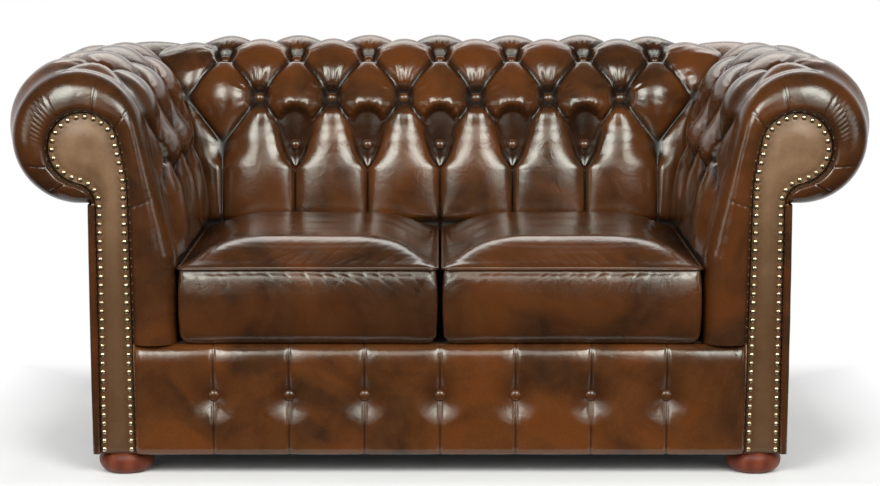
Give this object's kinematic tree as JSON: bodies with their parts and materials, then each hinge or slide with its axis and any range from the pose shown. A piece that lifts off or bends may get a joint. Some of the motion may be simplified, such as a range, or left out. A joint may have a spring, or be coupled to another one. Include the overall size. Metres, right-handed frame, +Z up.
{
  "type": "leather sofa",
  "caption": "Rolled-arm leather sofa with buttoned back and arms, nail-trimmed scroll fronts, loose lift-out seat cushions and low bun feet.",
  "frame": {"origin": "on the floor, under the centre of the sofa's box", "axes": "+X to the right as seen from the front, +Y from the front to the rear, +Z up"},
  "size_m": [1.5892, 0.8803, 0.7764],
  "materials": {
    "leather": "glossy antique brown leather over padding",
    "facing_leather": "satin brown leather",
    "foam": "upholstery foam",
    "frame_wood": "planed hardwood",
    "foot_wood": "polished mahogany stain",
    "lining": "black lining cloth",
    "steel": "oiled spring steel",
    "nail_brass": "antique brass",
    "zip_metal": "antique brass"
  },
  "bodies": {
    "sofa_body": {"back_buttons": "leather", "back_cover": "leather", "back_foam": "foam", "back_lining_board": "frame_wood", "back_tack_rail": "frame_wood", "back_top_rail": "frame_wood", "border_buttons": "leather", "centre_brace": "frame_wood", "corner_blocks": "frame_wood", "deck_cover": "lining", "deck_pad": "foam", "dust_cover": "lining", "foot_studs": "steel", "front_border": "leather", "front_left_foot": "foot_wood", "front_rail": "frame_wood", "front_right_foot": "foot_wood", "left_arm_buttons": "leather", "left_arm_cover": "leather", "left_arm_foam": "foam", "left_arm_lining_board": "frame_wood", "left_arm_tack_rail": "frame_wood", "left_arm_top_rail": "frame_wood", "left_facing_nails": "nail_brass", "left_facing_panel": "facing_leather", "left_front_post": "frame_wood", "left_outside_arm_panel": "leather", "left_rear_post": "frame_wood", "left_side_rail": "frame_wood", "outside_back_panel": "leather", "rear_left_foot": "foot_wood", "rear_rail": "frame_wood", "rear_right_foot": "foot_wood", "right_arm_buttons": "leather", "right_arm_cover": "leather", "right_arm_foam": "foam", "right_arm_lining_board": "frame_wood", "right_arm_tack_rail": "frame_wood", "right_arm_top_rail": "frame_wood", "right_facing_nails": "nail_brass", "right_facing_panel": "facing_leather", "right_front_post": "frame_wood", "right_outside_arm_panel": "leather", "right_rear_post": "frame_wood", "right_side_rail": "frame_wood", "seat_springs": "steel", "spring_clips": "steel", "spring_cloth": "lining"},
    "left_cushion": {"left_cushion_cover": "leather", "left_cushion_core": "foam", "left_cushion_piping": "leather", "left_zip_tape": "lining"},
    "left_zip_slider": {"left_zip_slider": "zip_metal"},
    "right_cushion": {"right_cushion_cover": "leather", "right_cushion_core": "foam", "right_cushion_piping": "leather", "right_zip_tape": "lining"},
    "right_zip_slider": {"right_zip_slider": "zip_metal"}
  },
  "joints": [
    {"name": "left_cushion_lift", "type": "slide", "parent": "sofa_body", "child": "left_cushion", "axis": [0, 0, 1], "range_m": [0, 0.53]},
    {"name": "left_zip_slide", "type": "slide", "parent": "left_cushion", "child": "left_zip_slider", "axis": [-1, 0, 0], "range_m": [0, 0.345]},
    {"name": "right_cushion_lift", "type": "slide", "parent": "sofa_body", "child": "right_cushion", "axis": [0, 0, 1], "range_m": [0, 0.53]},
    {"name": "right_zip_slide", "type": "slide", "parent": "right_cushion", "child": "right_zip_slider", "axis": [1, 0, 0], "range_m": [0, 0.345]}
  ]
}
